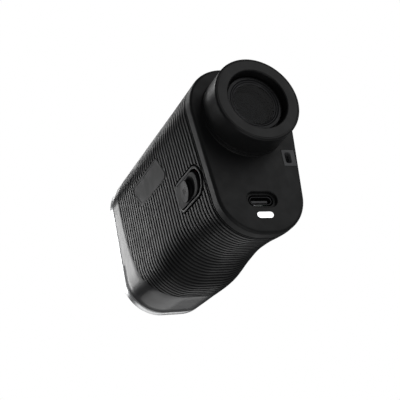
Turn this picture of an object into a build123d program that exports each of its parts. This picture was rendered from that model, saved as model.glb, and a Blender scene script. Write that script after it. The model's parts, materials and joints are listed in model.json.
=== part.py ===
from build123d import *
import os
from math import asin, atan2, cos, sin, sqrt

# Handheld laser rangefinder. Lengths are in mm.
# Working frame: +Y is the aim direction, +Z up, +X right. Y = 0 is the rear cap's flat face and
# Z = 0 is the eyepiece axis. Each node is saved in the row frame, whose origin is the centre of
# the base: ORIGIN_SHIFT moves it there.

# ---- driving dimensions: the housing ----
BODY_LENGTH = 97.0
EYE_REACH = 12.8
# Cross-sections along the aim axis: station, half width at the top, half width at the bottom,
# height of the top, height of the bottom. The bottom waist is behind the hump.
STATIONS = [
    (0.0, 22.55, 16.2, 20.2, -47.2),
    (5.0, 22.45, 16.3, 20.2, -47.1),
    (18.0, 22.15, 16.8, 20.3, -45.1),
    (31.0, 21.75, 17.5, 20.4, -44.1),
    (44.0, 21.45, 18.2, 20.5, -45.0),
    (58.0, 21.05, 19.0, 20.6, -46.7),
    (76.0, 20.7, 19.7, 20.7, -45.7),
    (97.0, 20.5, 20.1, 20.8, -44.4),
]
TOP_CORNER_R = 17.0
BOTTOM_CORNER_R = 16.0
WALL = 2.2
CAP_DEPTH = 4.2
CAP_PLATE = 2.4
CAP_EDGE_R = 1.2
SEAM = 0.4
SEAM_DEPTH = 0.5
LOFT_STEP = 8.0
BEZEL_LENGTH = 5.0
BEZEL_WALL = 1.9
BEZEL_EDGE_R = 0.9
FIT = 0.05

ORIGIN_SHIFT = Vector(0, (EYE_REACH - BODY_LENGTH) / 2, -STATIONS[0][4])

# ---- ribs of the grip sleeve, and the cylinder about X where they end ----
RIB_PITCH = 2.24
RIB_FIRST_GROOVE = 5.6
RIB_DEPTH = 0.85
RIB_CREST_SHARE = 0.5
RIB_END_CENTRE = (2.0, 3.0)
RIB_END_R = 82.5

# ---- eyepiece, on the Y axis ----
CUP_R = 16.9
CUP_EDGE_R = 0.8
CUP_BORE_R = 11.8
CUP_BORE_EDGE_R = 0.6
CUP_NECK_R = 11.25
CUP_NECK_LENGTH = 1.4
CUP_REST_GAP = 0.3
CUP_STEP_Y = -8.0
RIM_GROOVE_R = (16.0, 15.8)
RIM_GROOVE_DEPTH = 0.2
BASE_GROOVE_Y = (-2.3, -1.9)
BASE_GROOVE_DEPTH = 0.4
BEAD_R = 16.8
COLLAR_R = 16.8
COLLAR_FLARE_R = 17.0
COLLAR_LENGTH = 1.0
EYE_TUBE_R = 12.4
EYE_TUBE_BORE_R = 10.97
EYE_CELL_R = 10.9
EYE_CELL_BORE_R = 9.6
EYE_LENS_R = 9.55
EYE_LENS_EDGE = 4.4
EYE_STOP_R = 9.0
EYE_STOP_Y = (-2.4, -1.4)
EYE_FACE_Y = -9.9
RETAINER_THICK = 0.8
RETAINER_FLAT_R = 9.8
RETAINER_BORE_R = 8.15
RUNNING_GAP = 0.06

# ---- rear face details ----
USB_Z = -33.9
USB_POCKET = (12.1, 6.0)
USB_POCKET_DEPTH = 1.3
USB_MOUTH_R = 0.3
USB_HOLE = (10.2, 4.4)
USB_SHELL = (8.94, 3.26)
USB_SHELL_WALL = 0.35
USB_SHELL_Y = (1.5, 8.6)
USB_TONGUE = (6.6, 1.0)
USB_TONGUE_Y = 2.5
LAMP_Z = -39.9
LAMP = (6.5, 2.3)
LUG_X = (12.4, 17.9)
LUG_Z = (-20.5, -13.7)
LUG_CORNER_R = 0.5
LUG_SLOT_X = (13.6, 15.9)
LUG_SLOT_Z = (-19.2, -14.9)
LUG_SLOT_R = 0.9
LUG_SIDE_Y = (1.2, 3.2)
LUG_DEPTH = 4.1

# ---- slide switch on the left flank ----
# D shapes: centre of the rear half circle, front edge, half width and front corner radius,
# all in the flank plane at SWITCH_Y, forwards positive. Heights are above the rib crests.
SWITCH_Z = -21.0
SWITCH_Y = 16.6
SWITCH_RIM = (-4.0, 12.0, 5.9, 2.5)
SWITCH_MOAT = 0.7
SWITCH_WINDOW = (-4.0, 11.2, 4.9, 1.9)
SWITCH_RIM_TOP = 0.25
SWITCH_FLANGE = (-2.2, -1.5)
MARKER_THICK = 0.5
SLIDER = (-2.1, 10.9, 4.6, 1.6)
SLIDER_HEIGHTS = (-1.65, 0.5)
SLIDE_TRAVEL = 1.9
SLIDE_GAP = 0.3
DISH_R = 3.9
DISH_DEPTH = 1.3
DISH_X = -0.6
KNOB_X = 3.7
KNOB_R = 4.2
KNOB_SEAT = -1.2
KNOB_REAR_HEIGHT = 1.55
KNOB_FRONT_HEIGHT = 0.7
KNOB_SCOOP = (0.5, 1.4, 0.35)
STEM_R = 1.1
STEM_SLOT_R = 1.4
STEM_FOOT = -4.2
GRIP_LINE = (2.4, 0.35, 0.2)
GRIP_LINE_STEP = 1.1

# ---- buttons on the top ----
BUTTON_ISLAND = (17.0, 46.0)
ISLAND_Y = 46.0
ISLAND_TOP = 21.3
FIRE_Y = 54.0
FIRE_SIZE = (11.0, 21.0)
MODE_Y = 33.0
MODE_R = 4.6
BUTTON_TOP = 22.4
BUTTON_GAP = 0.3
FLANGE_LIP = 0.9
FLANGE_TOP = 18.2
FLANGE_THICK = 1.0
KEY_BOARD_Z = 13.4
KEY_BOARD_THICK = 0.8
KEY_SWITCH_HEIGHT = 1.7

# ---- badge on the left flank: a plain blank plate ----
BADGE_CENTRE = (50.0, -3.2)
BADGE_SIZE = (29.0, 11.0)
BADGE_THICK = 1.0

# ---- optics and electronics ----
OBJECTIVE_R = 11.5
BARREL_R = 13.2
BARREL_BORE_R = 12.0
LASER_Z = -29.0
LASER_LENS_R = 7.2
LASER_BARREL_R = 8.3
PLATE_Y = (93.0, 95.2)
DECK_Z = (-15.2, -13.6)
DECK_HALF = 15.8
BULKHEAD_Y = (85.0, 87.0)
BATTERY_R = 7.8
BATTERY_Z = -23.8
BATTERY_Y = (13.0, 47.0)
MOTOR_X = 12.4
MOTOR_Z = -24.0
PLATE_SCREWS = [(14.8, 9.5), (-14.8, 9.5), (12.5, -36.0), (-12.5, -36.0)]
FEET_SCREWS = [(14.3, 21.5), (-14.3, 21.5), (14.3, 37.5), (-14.3, 37.5)]
SCREW_R = 0.8
SCREW_HEAD_R = 1.4

os.makedirs("parts", exist_ok=True)


def save(shape, node):
    export_step(Pos(*ORIGIN_SHIFT) * shape, f"parts/{node}.step")


# ---- shared geometry ----
def station(y):
    """The section's five measures at y: a smooth cubic through STATIONS."""
    rows = STATIONS
    last = len(rows) - 1
    k = min(max(i for i in range(last) if rows[i][0] <= max(y, rows[0][0])), last - 1)
    low, high = rows[k], rows[k + 1]
    span = high[0] - low[0]
    t = (y - low[0]) / span

    def slope(i, column):
        before, after = rows[max(i - 1, 0)], rows[min(i + 1, last)]
        return (after[column] - before[column]) / (after[0] - before[0])

    values = []
    for c in range(1, 5):
        rise = high[c] - low[c]
        m0, m1 = slope(k, c) * span, slope(k + 1, c) * span
        values.append(low[c] + m0 * t + (3 * rise - 2 * m0 - m1) * t**2 + (m0 + m1 - 2 * rise) * t**3)
    return values


def half_width(y, z):
    """Outer half width of the flat flank at station y and height z."""
    half_top, half_bottom, top, bottom = station(y)
    return half_bottom + (half_top - half_bottom) * (z - bottom) / (top - bottom)


def outline(y, inset=0.0):
    """The housing's rounded section at y, as a face, moved inwards by inset."""
    half_top, half_bottom, top, bottom = station(y)
    lean = (half_top - half_bottom) / (top - bottom)
    shift = inset * sqrt(1 + lean**2)
    low, high = bottom + inset, top - inset
    half_low = half_bottom + lean * inset - shift
    half_high = half_top - lean * inset - shift
    corners = [(half_low, low), (half_high, high), (-half_high, high), (-half_low, low)]
    bottom_r, top_r = BOTTOM_CORNER_R - inset, TOP_CORNER_R - inset
    wire = FilletPolyline(*corners, radius=[bottom_r, top_r, top_r, bottom_r], close=True)
    return Plane((0, y, 0), (1, 0, 0), (0, -1, 0)) * make_face(wire)


def envelope(y0, y1, inset=0.0):
    """The housing's smooth outer body between two stations, moved inwards by inset."""
    steps = max(1, round((y1 - y0) / LOFT_STEP))
    return loft([outline(y0 + (y1 - y0) * i / steps, inset) for i in range(steps + 1)])


def ribbed_envelope(y0, y1):
    """The same body with a flat-topped rib and a V groove at each pitch."""
    half_crest = RIB_PITCH * RIB_CREST_SHARE / 2
    cuts = [(y0, 0.0)]
    groove = RIB_FIRST_GROOVE
    while groove + RIB_PITCH < y1:
        mouth = RIB_PITCH / 2 - half_crest
        cuts += [(groove - mouth, 0.0), (groove, RIB_DEPTH), (groove + mouth, 0.0)]
        groove += RIB_PITCH
    cuts.append((y1, 0.0))
    return loft([outline(y, inset) for y, inset in cuts], ruled=True)


def rod(radius, y0, y1, x=0.0, z=0.0):
    """A cylinder along Y."""
    return Plane((x, y0, z), (1, 0, 0), (0, 1, 0)) * extrude(Circle(radius), y1 - y0)


def ring(outer, inner, y0, y1, x=0.0, z=0.0):
    """A ring along Y."""
    return rod(outer, y0, y1, x, z) - rod(inner, y0, y1, x, z)


def block(x0, x1, y0, y1, z0, z1):
    """A box from its two corners."""
    return Pos((x0 + x1) / 2, (y0 + y1) / 2, (z0 + z1) / 2) * Box(x1 - x0, y1 - y0, z1 - z0)


def rounded_block(x0, x1, y0, y1, z0, z1, radius):
    """A box whose four edges along Y are rounded."""
    face = RectangleRounded(x1 - x0, z1 - z0, radius)
    plane = Plane(((x0 + x1) / 2, y0, (z0 + z1) / 2), (1, 0, 0), (0, -1, 0))
    return plane * extrude(face, y0 - y1)


def slot_bar(size, y0, y1, z):
    """A bar along Y whose section is a stadium of size (width, height) at x = 0."""
    return Plane((0, y0, z), (1, 0, 0), (0, -1, 0)) * extrude(
        SlotOverall(size[0], size[1]), y0 - y1
    )


def upright(width, length, y, z0, z1):
    """A vertical stadium column, long along Y, centred on x = 0."""
    return Pos(0, y, z0) * extrude(SlotOverall(length, width, rotation=90), z1 - z0)


def turned(points):
    """A solid of revolution about the Y axis from (radius, y) points."""
    profile = make_face(Polyline(*points, close=True))
    return revolve(profile, Axis.Y)


def flank_plane(y, z):
    """Plane on the left flank: local x forward, local y down the flank, local z outwards."""
    half_top, half_bottom, top, bottom = station(y)
    lean = atan2(half_top - half_bottom, top - bottom)
    origin = (-half_width(y, z), y, z)
    return Plane(origin, (0, 1, 0), (-cos(lean), 0, -sin(lean)))


def dome_edge(radius, y_edge, sag):
    """Half the profile of a lens surface, from the axis to the rim: a sphere of the given sag."""
    if sag == 0:
        return Line((0, y_edge), (radius, y_edge))
    sphere_r = (radius**2 + sag**2) / (2 * abs(sag))
    side = 1 if sag > 0 else -1
    centre = y_edge + sag - side * sphere_r
    half_angle = asin(radius / sphere_r) / 2
    middle = (sphere_r * sin(half_angle), centre + side * sphere_r * cos(half_angle))
    return ThreePointArc((0, y_edge + sag), middle, (radius, y_edge))


def lens(radius, y_back, edge, sag_front, sag_back, z=0.0):
    """A lens along Y: an edge cylinder with a spherical bulge on each side."""
    profile = [
        Line((0, -sag_back), (0, edge + sag_front)),
        dome_edge(radius, edge, sag_front),
        Line((radius, edge), (radius, 0)),
        dome_edge(radius, 0, -sag_back),
    ]
    return Pos(0, y_back, z) * revolve(make_face(profile), Axis.Y)


def screws(places, y_head, shank, head=1.0):
    """Identical screws along Y with a hexagon socket, as one group of solids."""
    group = []
    for x, z in places:
        screw = rod(SCREW_HEAD_R, y_head, y_head + head, x, z)
        screw += rod(SCREW_R, y_head - shank, y_head, x, z)
        socket = Plane((x, y_head + head, z), (1, 0, 0), (0, 1, 0)) * extrude(
            RegularPolygon(SCREW_R * 0.8, 6), -head * 0.6
        )
        group.append(screw - socket)
    return Compound(group)


# ---- housing ----
def rib_end():
    """The cylinder about X that bounds the ribbed area."""
    y, z = RIB_END_CENTRE
    return Pos(0, y, z) * Rot(0, 90, 0) * Cylinder(RIB_END_R, 80)


def d_shape(rear, front, r, corner):
    """A half circle of radius r centred at rear, straight sides, and round front corners."""
    turn = corner * (1 - sqrt(0.5))
    side = front - corner
    edges = [
        Line((side, -r), (rear, -r)),
        ThreePointArc((rear, -r), (rear - r, 0), (rear, r)),
        Line((rear, r), (side, r)),
        ThreePointArc((side, r), (front - turn, r - turn), (front, r - corner)),
        Line((front, r - corner), (front, corner - r)),
        ThreePointArc((front, corner - r), (front - turn, turn - r), (side, -r)),
    ]
    return make_face(edges)


def switch_hole(grow):
    """The switch's outline, wider by grow behind and at the sides but not in front."""
    rear, front, r, corner = SWITCH_RIM
    return d_shape(rear, front + FIT, r + grow, corner + grow)


def stem_slot(radius):
    """The slot in which the slider's stem moves."""
    travel = SLIDE_TRAVEL + SLIDE_GAP
    return Pos(KNOB_X - SLIDE_TRAVEL / 2, 0) * SlotCenterToCenter(travel, 2 * radius)


SWITCH_PLANE = flank_plane(SWITCH_Y, SWITCH_Z)
BADGE_PLANE = flank_plane(*BADGE_CENTRE)
CAVITY = envelope(-5.0, BODY_LENGTH + 5.0, WALL)


def mouth_edges(cap):
    """The edges of the USB pocket on the rear face."""
    def near(edge):
        middle = edge.center()
        inside = abs(middle.X) <= USB_POCKET[0] / 2 + FIT
        return abs(middle.Y) < FIT and inside and abs(middle.Z - USB_Z) <= USB_POCKET[1] / 2 + FIT

    return [edge for edge in cap.edges() if near(edge)]


def rear_cap():
    cap = envelope(0.0, CAP_DEPTH)
    rear_edges = cap.faces().sort_by(Axis.Y)[0].edges()
    cap = fillet(rear_edges, CAP_EDGE_R)
    cap -= CAVITY & block(-30, 30, CAP_PLATE, CAP_DEPTH + 1, -60, 30)
    cap -= rod(EYE_TUBE_R + FIT, -1, CAP_PLATE + 1)
    cap -= slot_bar(USB_POCKET, -1, USB_POCKET_DEPTH, USB_Z)
    cap = fillet(mouth_edges(cap), USB_MOUTH_R)
    cap -= slot_bar(USB_HOLE, -1, CAP_PLATE + 1, USB_Z)
    cap -= slot_bar((LAMP[0] + 2 * FIT, LAMP[1] + 2 * FIT), -1, CAP_PLATE + 1, LAMP_Z)
    x0, x1 = LUG_X[0] - FIT, LUG_X[1] + FIT
    z0, z1 = LUG_Z[0] - FIT, LUG_Z[1] + FIT
    cap -= rounded_block(x0, x1, -1, CAP_DEPTH + 1, z0, z1, LUG_CORNER_R)
    cap -= block(LUG_SLOT_X[0], 30, LUG_SIDE_Y[0], LUG_SIDE_Y[1], *LUG_SLOT_Z)
    return cap


def rear_gasket():
    y0, y1 = CAP_DEPTH, CAP_DEPTH + SEAM
    return envelope(y0, y1, SEAM_DEPTH) - envelope(y0 - 1, y1 + 1, WALL)


def island_cut():
    width, length = BUTTON_ISLAND
    return upright(width + 2 * FIT, length + 2 * FIT, ISLAND_Y, 10, 30)


def grip_sleeve():
    sleeve = ribbed_envelope(CAP_DEPTH + SEAM, BODY_LENGTH - BEZEL_LENGTH) & rib_end()
    sleeve -= CAVITY
    sleeve -= SWITCH_PLANE * extrude(switch_hole(SWITCH_MOAT), 6, both=True)
    sleeve -= BADGE_PLANE * Pos(0, 0, -BADGE_THICK) * extrude(badge_outline(FIT), 6)
    sleeve -= island_cut()
    return sleeve


def front_shell():
    shell = envelope(60.0, BODY_LENGTH - BEZEL_LENGTH - FIT) - rib_end()
    shell -= CAVITY
    return shell - island_cut()


def front_bezel():
    y0 = BODY_LENGTH - BEZEL_LENGTH
    bezel = envelope(y0, BODY_LENGTH)
    front_edges = bezel.faces().sort_by(Axis.Y)[-1].edges()
    bezel = fillet(front_edges, BEZEL_EDGE_R)
    return bezel - envelope(y0 - 1, BODY_LENGTH + 1, BEZEL_WALL)


def front_plate():
    plate = envelope(*PLATE_Y, BEZEL_WALL + FIT)
    plate -= rod(OBJECTIVE_R + 1.0, 90, 99)
    plate -= rod(LASER_LENS_R + 1.4, 90, 99, z=LASER_Z)
    for x, z in PLATE_SCREWS:
        plate -= rod(SCREW_R + FIT, 90, 99, x, z)
    return plate


def front_gasket():
    y0 = BODY_LENGTH - BEZEL_LENGTH
    outer = envelope(y0, PLATE_Y[0], BEZEL_WALL + FIT)
    return outer - envelope(y0 - 1, PLATE_Y[0] + 1, BEZEL_WALL + 1.4)


def badge_outline(grow=0.0):
    """A plain slanted plate with round corners."""
    length, height = BADGE_SIZE
    a, b, slant = length / 2 + grow, height / 2 + grow, 3.0
    corners = [(-a - slant, b), (a - slant, b), (a + slant, -b), (-a + slant, -b)]
    return make_face(FilletPolyline(*corners, radius=2.2, close=True))


def side_badge():
    return BADGE_PLANE * Pos(0, 0, -BADGE_THICK) * extrude(badge_outline(), BADGE_THICK)


def lanyard_lug():
    lug = rounded_block(*LUG_X, -0.15, LUG_DEPTH, *LUG_Z, LUG_CORNER_R)
    lug -= rounded_block(*LUG_SLOT_X, -1, LUG_SIDE_Y[1], *LUG_SLOT_Z, LUG_SLOT_R)
    return lug - block(LUG_SLOT_X[0], 30, *LUG_SIDE_Y, *LUG_SLOT_Z)


# ---- eyepiece ----
def circles_at(shape, radius, y):
    """The circular edges of the given radius at y."""
    circles = shape.edges().filter_by(GeomType.CIRCLE)
    return [c for c in circles if abs(c.radius - radius) < FIT and abs(c.arc_center.Y - y) < FIT]


def eyecup():
    """The turning dioptre ring: a straight side, a flat rim, and a bead at its base."""
    rim, base = -EYE_REACH, -COLLAR_LENGTH - CUP_REST_GAP
    tube_r = EYE_TUBE_R + RUNNING_GAP
    waist_r = CUP_R - BASE_GROOVE_DEPTH
    cup = turned([
        (CUP_BORE_R, rim), (CUP_R, rim), (CUP_R, BASE_GROOVE_Y[0]), (waist_r, BASE_GROOVE_Y[0]),
        (waist_r, BASE_GROOVE_Y[1]), (BEAD_R, BASE_GROOVE_Y[1]), (BEAD_R, base), (tube_r, base),
        (tube_r, CUP_STEP_Y), (CUP_NECK_R, CUP_STEP_Y), (CUP_NECK_R, CUP_STEP_Y - CUP_NECK_LENGTH),
    ])
    cup = fillet(circles_at(cup, CUP_R, rim), CUP_EDGE_R)
    cup = fillet(circles_at(cup, CUP_BORE_R, rim), CUP_BORE_EDGE_R)
    return cup - ring(*RIM_GROOVE_R, rim - 1, rim + RIM_GROOVE_DEPTH)


def eyepiece_collar():
    inner = EYE_TUBE_R + RUNNING_GAP
    return turned([
        (inner, -COLLAR_LENGTH), (COLLAR_R, -COLLAR_LENGTH), (COLLAR_R, -COLLAR_LENGTH / 3),
        (COLLAR_FLARE_R, 0), (inner, 0),
    ])


def eyepiece_tube():
    tube = rod(EYE_TUBE_R, CUP_STEP_Y + CUP_REST_GAP, 12.0) + rod(16.0, CAP_PLATE, CAP_PLATE + 1.5)
    return tube - rod(EYE_TUBE_BORE_R, -10, 13)


def ocular_cell():
    cell = ring(EYE_CELL_R, EYE_CELL_BORE_R, EYE_FACE_Y + RETAINER_THICK, 9.0)
    return cell + ring(EYE_CELL_BORE_R + 0.2, EYE_STOP_R, *EYE_STOP_Y)


def ocular_retainer():
    """The flat front ring that holds the eye lens, stepped down to its opening."""
    y, back = EYE_FACE_Y, EYE_FACE_Y + RETAINER_THICK
    return turned([
        (RETAINER_BORE_R, back), (EYE_CELL_R, back), (EYE_CELL_R, y), (RETAINER_FLAT_R, y),
        (RETAINER_FLAT_R - 0.5, y + 0.3), (RETAINER_FLAT_R - 0.8, y + 0.3),
        (RETAINER_FLAT_R - 1.1, y + 0.6), (RETAINER_BORE_R, y + 0.7),
    ])


def eye_lens():
    return lens(EYE_LENS_R, EYE_FACE_Y + RETAINER_THICK + 0.12, EYE_LENS_EDGE, 0.0, 0.4)


def field_lens():
    return lens(EYE_LENS_R, -1.3, 2.4, 1.6, 0.0)


def objective_cell():
    cell = ring(BARREL_R, OBJECTIVE_R + 0.1, 83.0, 92.4)
    return cell + ring(OBJECTIVE_R + 0.9, OBJECTIVE_R + 0.1, 92.4, 96.0)


def objective_lens():
    return lens(OBJECTIVE_R, 89.0, 3.4, 1.9, 0.0)


def objective_retainer():
    return ring(OBJECTIVE_R + 0.05, OBJECTIVE_R - 0.8, 94.4, 95.8)


def optics_barrel():
    return ring(BARREL_R, BARREL_BORE_R, 42.0, 82.9)


def laser_cell():
    return ring(LASER_LENS_R + 1.3, LASER_LENS_R + 0.1, 84.0, 95.8, z=LASER_Z)


def laser_lens():
    return lens(LASER_LENS_R, 89.5, 2.2, 1.7, 0.0, LASER_Z)


def laser_retainer():
    return ring(LASER_LENS_R + 0.05, LASER_LENS_R - 0.7, 94.2, 95.6, z=LASER_Z)


def laser_barrel():
    return ring(LASER_BARREL_R, LASER_BARREL_R - 0.9, 58.0, 83.9, z=LASER_Z)


def laser_holder():
    holder = block(-8.5, 8.5, 53.0, 57.9, LASER_Z - 8.5, LASER_Z + 8.5)
    return holder - rod(2.9, 52, 59, z=LASER_Z)


def laser_diode():
    diode = rod(2.8, 53.6, 56.4, z=LASER_Z) + rod(2.3, 56.4, 58.4, z=LASER_Z)
    for x, z in ((1.2, 0.0), (-1.2, 0.0), (0.0, 1.2)):
        diode += rod(0.25, 49.6, 53.6, x, LASER_Z + z)
    return diode


def prism_housing():
    outer = block(-13.0, 13.0, 17.0, 41.9, -11.0, 13.0)
    feet = block(-15.6, 15.6, 19.0, 40.0, DECK_Z[1], -11.0)
    body = outer + feet
    body -= block(-10.6, 10.6, 16.0, 43.0, -9.2, 11.2)
    for x, y in FEET_SCREWS:
        body -= Pos(x, y, -12) * Cylinder(SCREW_R + FIT, 10)
    return body


def feet_screws():
    group = []
    for x, y in FEET_SCREWS:
        shank = Pos(x, y, (DECK_Z[0] - 11.0) / 2) * Cylinder(SCREW_R, -11.0 - DECK_Z[0])
        head = Pos(x, y, -10.5) * Cylinder(1.2, 1.0)
        group.append(head + shank)
    return Compound(group)


def roof_prism():
    """A folded prism block with its roof edge on top."""
    corners = [(18.5, -9.0), (40.0, -9.0), (40.0, 4.0), (33.0, 11.0), (25.5, 11.0), (18.5, 4.0)]
    section = make_face(Polyline(*corners, close=True))
    return Plane((-9.5, 0, 0), (0, 1, 0), (1, 0, 0)) * extrude(section, 19.0)


def field_stop():
    return ring(12.3, 6.0, 12.2, 13.2)


def display_glass():
    return rod(9.5, 13.4, 14.6)


def receiver_can():
    can = Pos(14.6, 29.5, 1.0) * Rot(0, 90, 0) * Cylinder(4.6, 3.0)
    return can - Pos(13.5, 29.5, 1.0) * Rot(0, 90, 0) * Cylinder(3.6, 2.0)


def receiver_sensor():
    return Pos(13.7, 29.5, 1.0) * Rot(0, 90, 0) * Cylinder(2.4, 1.2)


def chassis():
    """The deck that carries the optics, with two barrel saddles and the front bulkhead."""
    deck = block(-DECK_HALF, DECK_HALF, 6.0, BULKHEAD_Y[0] + 1, *DECK_Z)
    for y in (48.0, 76.0):
        saddle = block(-DECK_HALF + 2, DECK_HALF - 2, y, y + 3.0, DECK_Z[1], -5.0)
        deck += saddle - rod(BARREL_R + FIT, y - 1, y + 4)
    deck += envelope(*BULKHEAD_Y, WALL + 0.3)
    deck -= rod(BARREL_R + FIT, 84, 88)
    deck -= rod(LASER_LENS_R + 1.3 + FIT, 83, 88, z=LASER_Z)
    for x, z in PLATE_SCREWS:
        deck -= rod(SCREW_R + FIT, 80, 90, x, z)
    for x, y in FEET_SCREWS:
        deck -= Pos(x, y, -14) * Cylinder(SCREW_R + FIT, 10)
    return deck


# ---- electronics ----
def main_board():
    return block(-13.5, 13.5, 50.0, 83.0, -17.6, -16.5)


def board_chips():
    chips = [(-6.0, 62.0, 9.0, 9.0), (6.0, 60.0, 6.0, 6.0), (7.0, 73.0, 8.0, 5.0), (-7.0, 75.0, 5.0, 5.0)]
    return Compound([Pos(x, y, -18.1) * Box(w, d, 1.0) for x, y, w, d in chips])


def standoffs():
    places = [(12.0, 52.0), (-12.0, 52.0), (12.0, 81.0), (-12.0, 81.0)]
    post = Cylinder(1.4, DECK_Z[0] + 16.5)
    return Compound([Pos(x, y, (DECK_Z[0] - 16.5) / 2) * post for x, y in places])


def usb_board():
    return block(-9.0, 9.0, 4.0, 22.0, -36.6, -35.6)


def usb_shell():
    outer = slot_bar(USB_SHELL, *USB_SHELL_Y, USB_Z)
    inside = (USB_SHELL[0] - 2 * USB_SHELL_WALL, USB_SHELL[1] - 2 * USB_SHELL_WALL)
    return outer - slot_bar(inside, 0, USB_SHELL_Y[1] - 0.8, USB_Z)


def usb_tongue():
    half_width, half_height = USB_TONGUE[0] / 2, USB_TONGUE[1] / 2
    low, high = USB_Z - half_height, USB_Z + half_height
    return block(-half_width, half_width, USB_TONGUE_Y, USB_SHELL_Y[1] - 0.9, low, high)


def lamp_window():
    return slot_bar(LAMP, 0.0, 3.4, LAMP_Z)


def lamp_diode():
    return block(-1.6, 1.6, 3.6, 5.4, LAMP_Z - 0.8, -36.7)


def battery_cell():
    cell = rod(BATTERY_R, *BATTERY_Y, z=BATTERY_Z)
    return cell + rod(2.5, BATTERY_Y[1], BATTERY_Y[1] + 0.8, z=BATTERY_Z)


def battery_cradle():
    cradle = block(-8.6, 8.6, 22.0, 44.0, DECK_Z[0] - 6.0, DECK_Z[0])
    return cradle - rod(BATTERY_R + FIT, 20, 46, z=BATTERY_Z)


def vibration_motor():
    motor = rod(3.0, 30.0, 38.0, MOTOR_X, MOTOR_Z)
    return motor - rod(0.56, 29.0, 33.0, MOTOR_X, MOTOR_Z)


def vibration_weight():
    shaft = rod(0.5, 26.2, 32.5, MOTOR_X, MOTOR_Z)
    half = rod(2.8, 26.0, 29.4, MOTOR_X, MOTOR_Z)
    half -= block(MOTOR_X - 4, MOTOR_X + 4, 25, 30, MOTOR_Z, MOTOR_Z + 4)
    hub = rod(1.0, 26.0, 29.4, MOTOR_X, MOTOR_Z)
    return half + hub + shaft


def motor_clip():
    clip = block(MOTOR_X - 3.4, MOTOR_X + 3.4, 31.0, 37.0, MOTOR_Z, DECK_Z[0])
    return clip - rod(3.0 + FIT, 30, 39, MOTOR_X, MOTOR_Z)


# ---- slide switch ----
def switch_escutcheon():
    """The raised D rim at the height of the rib crests, on a flange that fills the sleeve's hole."""
    low, shelf = SWITCH_FLANGE
    rim = Pos(0, 0, shelf) * extrude(d_shape(*SWITCH_RIM), SWITCH_RIM_TOP - shelf)
    flange = Pos(0, 0, low) * extrude(switch_hole(SWITCH_MOAT - FIT), shelf - low)
    window = Pos(0, 0, low - 1) * extrude(d_shape(*SWITCH_WINDOW), 5)
    return SWITCH_PLANE * (rim + flange - window)


def slide_marker():
    """The red floor of the window, with the slot for the slider's stem."""
    rear, front, r, corner = SWITCH_WINDOW
    floor = d_shape(rear, front - FIT, r - FIT, corner - FIT)
    marker = extrude(floor, MARKER_THICK) - extrude(stem_slot(STEM_SLOT_R), MARKER_THICK)
    return SWITCH_PLANE * Pos(0, 0, SWITCH_FLANGE[0]) * marker


def slider_plate():
    """The long D plate that slides in the window, dished behind the knob, and its stem."""
    low, high = SLIDER_HEIGHTS
    plate = Pos(0, 0, low) * extrude(d_shape(*SLIDER), high - low)
    ball_r = (DISH_R**2 + DISH_DEPTH**2) / (2 * DISH_DEPTH)
    plate -= Pos(DISH_X, 0, high - DISH_DEPTH + ball_r) * Sphere(ball_r)
    plate -= Pos(KNOB_X, 0, KNOB_SEAT) * extrude(Circle(KNOB_R + FIT), 3)
    stem = Pos(KNOB_X, 0, STEM_FOOT) * extrude(Circle(STEM_R), low + 0.1 - STEM_FOOT)
    return SWITCH_PLANE * (plate + stem)


def knob_mark(x):
    """One short groove across the knob's top."""
    width, length, depth = GRIP_LINE[1], GRIP_LINE[0], GRIP_LINE[2]
    return Pos(x, 0, -depth) * extrude(SlotOverall(length, width, rotation=90), 1)


def slider_knob():
    """The round thumb knob: its top slopes down forwards and its rear flank is hollow."""
    drop = KNOB_REAR_HEIGHT - KNOB_FRONT_HEIGHT
    middle = (KNOB_REAR_HEIGHT + KNOB_FRONT_HEIGHT) / 2
    top = Plane((KNOB_X, 0, middle), (2 * KNOB_R, 0, -drop), (drop, 0, 2 * KNOB_R))
    knob = Pos(KNOB_X, 0, KNOB_SEAT) * extrude(Circle(KNOB_R), 4)
    knob -= top * extrude(Circle(3 * KNOB_R), 6)
    knob = fillet(knob.edges().filter_by(GeomType.ELLIPSE), 0.25)
    depth, bend, height = KNOB_SCOOP
    rear = KNOB_X - KNOB_R + depth
    scoop_r = (KNOB_R**2 + (KNOB_X - rear) ** 2) / (2 * (KNOB_X - rear))
    knob -= Pos(rear + scoop_r, 0, height) * Torus(scoop_r + bend, bend)
    for x in (-GRIP_LINE_STEP, 0, GRIP_LINE_STEP):
        knob -= top * knob_mark(x)
    return SWITCH_PLANE * knob


def slide_switch_case():
    x = KNOB_X - SLIDE_TRAVEL / 2
    case = Pos(x, 0, -4.8) * Box(13.0, 7.0, 4.6)
    case -= Pos(0, 0, STEM_FOOT - 0.4) * extrude(stem_slot(STEM_SLOT_R + 0.2), 3.0)
    return SWITCH_PLANE * case


# ---- buttons ----
def button_island():
    """The raised frame round both buttons."""
    width, length = BUTTON_ISLAND
    island = upright(width, length, ISLAND_Y, FLANGE_TOP + 0.1, ISLAND_TOP)
    top_edges = island.faces().sort_by(Axis.Z)[-1].edges()
    island = fillet(top_edges, 0.8)
    island -= upright(FIRE_SIZE[0] + 2 * BUTTON_GAP, FIRE_SIZE[1] + 2 * BUTTON_GAP, FIRE_Y, 10, 30)
    return island - Pos(0, MODE_Y, 20) * Cylinder(MODE_R + BUTTON_GAP, 20)


def button_from(column, flange, y, plunger_r):
    """A button: its crowned column, the flange that keeps it in, and the plunger under it."""
    top_edges = column.faces().sort_by(Axis.Z)[-1].edges()
    column = fillet(top_edges, 0.8)
    plunger = Pos(0, y, FLANGE_TOP - FLANGE_THICK - 0.15) * Cylinder(plunger_r, 0.3)
    return column + flange + plunger


def fire_button():
    width, length = FIRE_SIZE
    low, lip = FLANGE_TOP - FLANGE_THICK, 2 * FLANGE_LIP
    column = upright(width, length, FIRE_Y, low, BUTTON_TOP)
    flange = upright(width + lip, length + lip, FIRE_Y, low, FLANGE_TOP)
    return button_from(column, flange, FIRE_Y, 1.5)


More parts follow.
